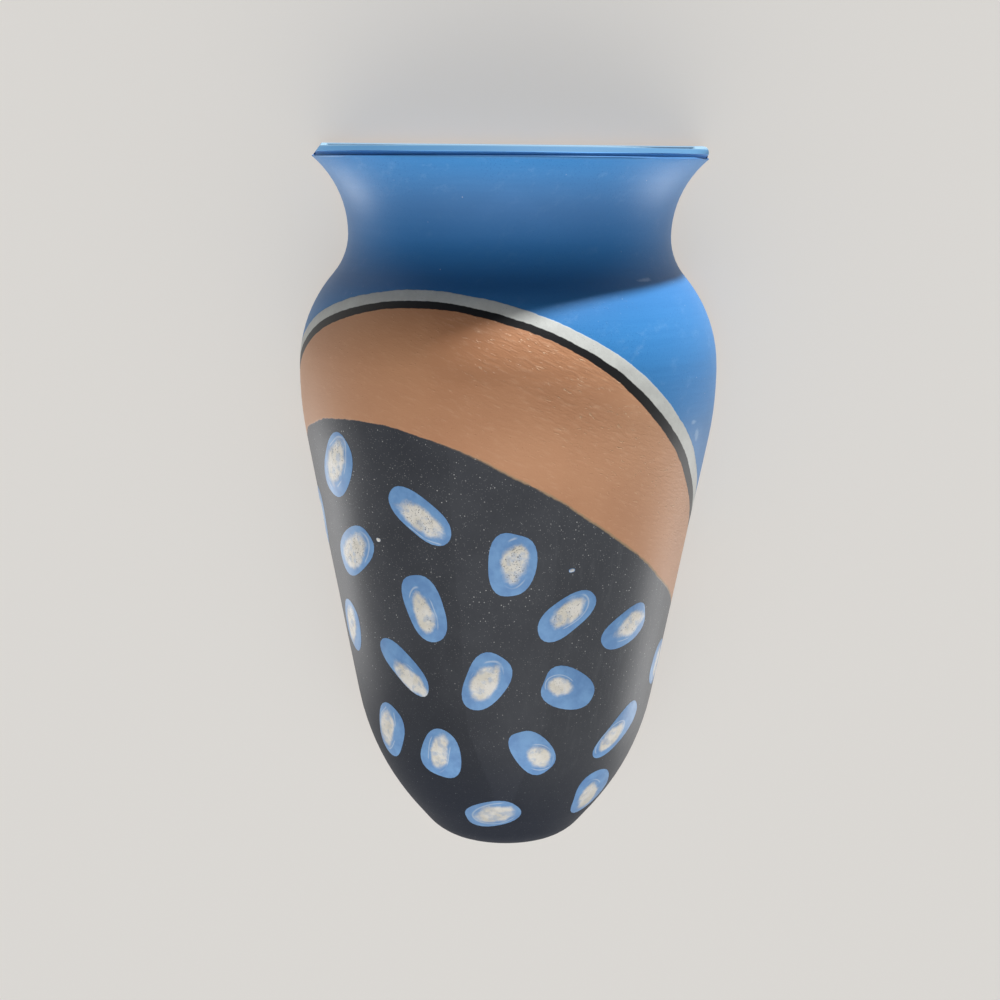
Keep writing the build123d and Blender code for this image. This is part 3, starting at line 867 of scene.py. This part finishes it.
# Machine screws, washers and nuts: zinc-plated steel, two of each.
# The screws go through the plate and the slab, and are pulled tight by the nuts inside the vase.
bolt_spacing = 0.048
bolt_height = -0.006
bolt_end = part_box("hanger_screws")[0].y
plate_bolts = threaded_copy(
    "plate_bolts",
    "hanger_screws",
    centres=[(-bolt_spacing / 2, bolt_height), (bolt_spacing / 2, bolt_height)],
    shank=0.002,
    low=bolt_end + 0.0003,
    high=bolt_end + 0.008,
    pitch=0.0007,
    depth=0.0004,
)
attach(plate_bolts, "vase")
dress("hanger_washers", zinc("washer_zinc"))
dress("hanger_nuts", zinc("nut_zinc"))


# Sealing washers: black rubber rings, stamped from sheet, one under each steel washer.
# They are squeezed against the inside of the slab and keep water off the screws.
seal_black = (0.014, 0.014, 0.015, 1)
seal_bloom = (0.04, 0.04, 0.041, 1)


def rubber(name, dark, worn, grain_size, relief):
    """Matt black rubber with a dusty bloom."""
    material, place, shader = finish(name)
    grain = place.noise(1 / grain_size, 3, 0.6)
    bloom = place.noise(140, 4, 0.6)
    tone = bloom.ramp(0.4, 0.75).blend(dark, worn)
    feed(shader, Base_Color=tone, Roughness=0.6 + grain * 0.25, Normal=grain.bump(relief))
    return material


seal_rubber = rubber("seal_rubber", seal_black, seal_bloom, grain_size=0.0008, relief=0.00006)
dress("sealing_washers", seal_rubber)


# Bumper pads: soft round self-adhesive pads stuck to the back of the slab.
# They keep the clay off the wall and stop the vase from swinging.
pad_black = (0.028, 0.027, 0.026, 1)
pad_bloom = (0.075, 0.072, 0.068, 1)
pad_rubber = rubber("bumper_rubber", pad_black, pad_bloom, grain_size=0.0006, relief=0.00005)
dress("bumper_pads", pad_rubber)


# Water liner: a moulded plastic cup with a flange that hangs in the throat and holds the water.
# It lifts straight out to be filled or cleaned.
liner_grey = (0.080, 0.080, 0.089, 1)
liner_pale = (0.100, 0.100, 0.111, 1)
liner_chalk = (0.30, 0.30, 0.29, 1)
liner_relief = 0.00006
liner_plastic, place, shader = finish("liner_plastic")
above_base = place.axes()[2] - base_z
flow = place.stretched(1, 1, 0.2).noise(60, 4)
scuffs = place.stretched(1, 1, 0.06).noise(900, 3, 0.6)
mould_grain = place.noise(2400, 2, 0.6)
limescale = place.noise(70, 5, 0.65) * (1 - above_base.ramp(0.10, 0.26))
tone = flow.ramp(0.3, 0.7).blend(liner_grey, liner_pale)
tone = (limescale.ramp(0.3, 0.6) * 0.35).blend(tone, liner_chalk)
feed(shader, Base_Color=tone, Roughness=0.42 + scuffs * 0.12 + limescale * 0.15)
feed(shader, Normal=(scuffs * 0.3 + mould_grain * 0.5).bump(liner_relief))
dress("water_liner", liner_plastic)


# Stage: a pale wall that only what looks at its front sees, a pale floor far below, a sun overhead
# close to the wall, light thrown up from below and in front, a lamp behind each side that only
# shows as sheen, and the camera.
stage_size = 6
wall_gap = 0.0006
floor_drop = 1.1
wall_colour = (0.27, 0.265, 0.255, 1)
wall_glow = (0.50, 0.487, 0.467, 1)
floor_colour = (0.20, 0.197, 0.193, 1)
floor_glow = (0.30, 0.295, 0.285, 1)


def stage_paint(name, colour, glow):
    """Matt paint seen only from its front, and only by the eye, mirrors and glass."""
    material, place, shader = finish(name)
    tree = material.node_tree
    shader.inputs["Roughness"].default_value = 0.9
    shader.inputs["Specular IOR Level"].default_value = 0.1
    shader.inputs["Emission Color"].default_value = glow
    shader.inputs["Emission Strength"].default_value = 1.0
    dim_colour = tuple(0.97 * part for part in colour[:3]) + (1,)
    feed(shader, Base_Color=place.noise(6, 3).blend(dim_colour, colour))
    looks = place.node("ShaderNodeLightPath", {}, {}, "Is Camera Ray")
    for ray in ("Is Glossy Ray", "Is Transmission Ray"):
        looks = looks.most(place.node("ShaderNodeLightPath", {}, {}, ray))
    back = place.node("ShaderNodeNewGeometry", {}, {}, "Backfacing")
    clear = place.node("ShaderNodeBsdfTransparent", {}, {})
    painted = Wire(tree, shader.outputs[0])
    mixed = place.node("ShaderNodeMixShader", {}, {0: looks * (1 - back), 1: clear, 2: painted})
    feed(tree.nodes["Material Output"], Surface=mixed)
    return material


def stage_plane(name, lie, material):
    """A square of the stage, laid by a matrix."""
    bpy.ops.object.select_all(action="DESELECT")
    bpy.ops.mesh.primitive_plane_add(size=stage_size)
    plane = bpy.context.object
    plane.name = name
    plane.data.transform(lie)
    coat(plane, material)
    return plane


upright = Matrix.Translation((0, wall_gap, 0)) @ Matrix.Rotation(pi / 2, 4, "X")
wall = stage_plane("stage_wall", upright, stage_paint("wall_paint", wall_colour, wall_glow))
below = Matrix.Translation((0, 0, -floor_drop))
floor = stage_plane("stage_floor", below, stage_paint("floor_paint", floor_colour, floor_glow))

studio_below = (3.0, 2.96, 2.91, 1)
studio_above = (0.06, 0.06, 0.064, 1)
studio_side = (0.2, 0.2, 0.205, 1)
studio_behind = (0.75, 0.74, 0.73, 1)
studio_seen = (0.78, 0.77, 0.75, 1)
world = bpy.data.worlds.new("studio")
bpy.context.scene.world = world
world.use_nodes = True
sky = Wire(world.node_tree)
seen = sky.node("ShaderNodeLightPath", {}, {}, "Is Camera Ray")
to_right, to_back, to_top = sky.node("ShaderNodeTexCoord", {}, {}, "Generated").axes()
studio = to_top.ramp(-0.75, -0.08).blend(studio_below, studio_above)
studio = (to_back - to_right * to_right * 0.4).ramp(-0.6, 0.15).blend(studio, studio_side)
studio = (to_back.ramp(0.15, 0.6) * to_top.ramp(-0.75, -0.3)).blend(studio, studio_behind)
feed(world.node_tree.nodes["Background"], Color=seen.blend(studio, studio_seen))


def lamp(name, kind, energy, spot, target, **settings):
    """A lamp at a spot, turned to a target."""
    light = bpy.data.lights.new(name, kind)
    light.energy = energy
    for setting, value in settings.items():
        setattr(light, setting, value)
    holder = bpy.data.objects.new(name, light)
    bpy.context.scene.collection.objects.link(holder)
    holder.location = spot
    holder.rotation_euler = (Vector(target) - Vector(spot)).to_track_quat("-Z", "Y").to_euler()
    return holder


vase_middle = (0, -0.05, -0.1)
sheen_width = 0.6
# Strength, place and height of the lamp for the sheen on each side.
sheens = {
    "left_sheen": (3.7, (-1.0, 0.75, -0.46), 0.25),
    "right_sheen": (4.7, (1.0, 0.65, -0.6), 0.35),
}
lamp("key", "SUN", 7.9, (0.19, 0.022, 0.981), (0, 0, 0), angle=radians(4))
for name, (energy, spot, tall) in sheens.items():
    sheen = lamp(
        name, "AREA", energy, spot, vase_middle, shape="RECTANGLE", size=sheen_width, size_y=tall
    )
    sheen.visible_diffuse = False

look_down = 0.1496
look_roll = 0.0096
camera = bpy.data.objects.new("camera", bpy.data.cameras.new("camera"))
bpy.context.scene.collection.objects.link(camera)
camera.location = (-0.0031, -1.0, 0.0491)
camera.rotation_mode = "ZXY"
camera.rotation_euler = (pi / 2 - look_down, 0, look_roll)
camera.data.lens = 79.13
camera.data.sensor_width = 36
bpy.context.scene.camera = camera
bpy.context.scene.view_settings.view_transform = "Standard"
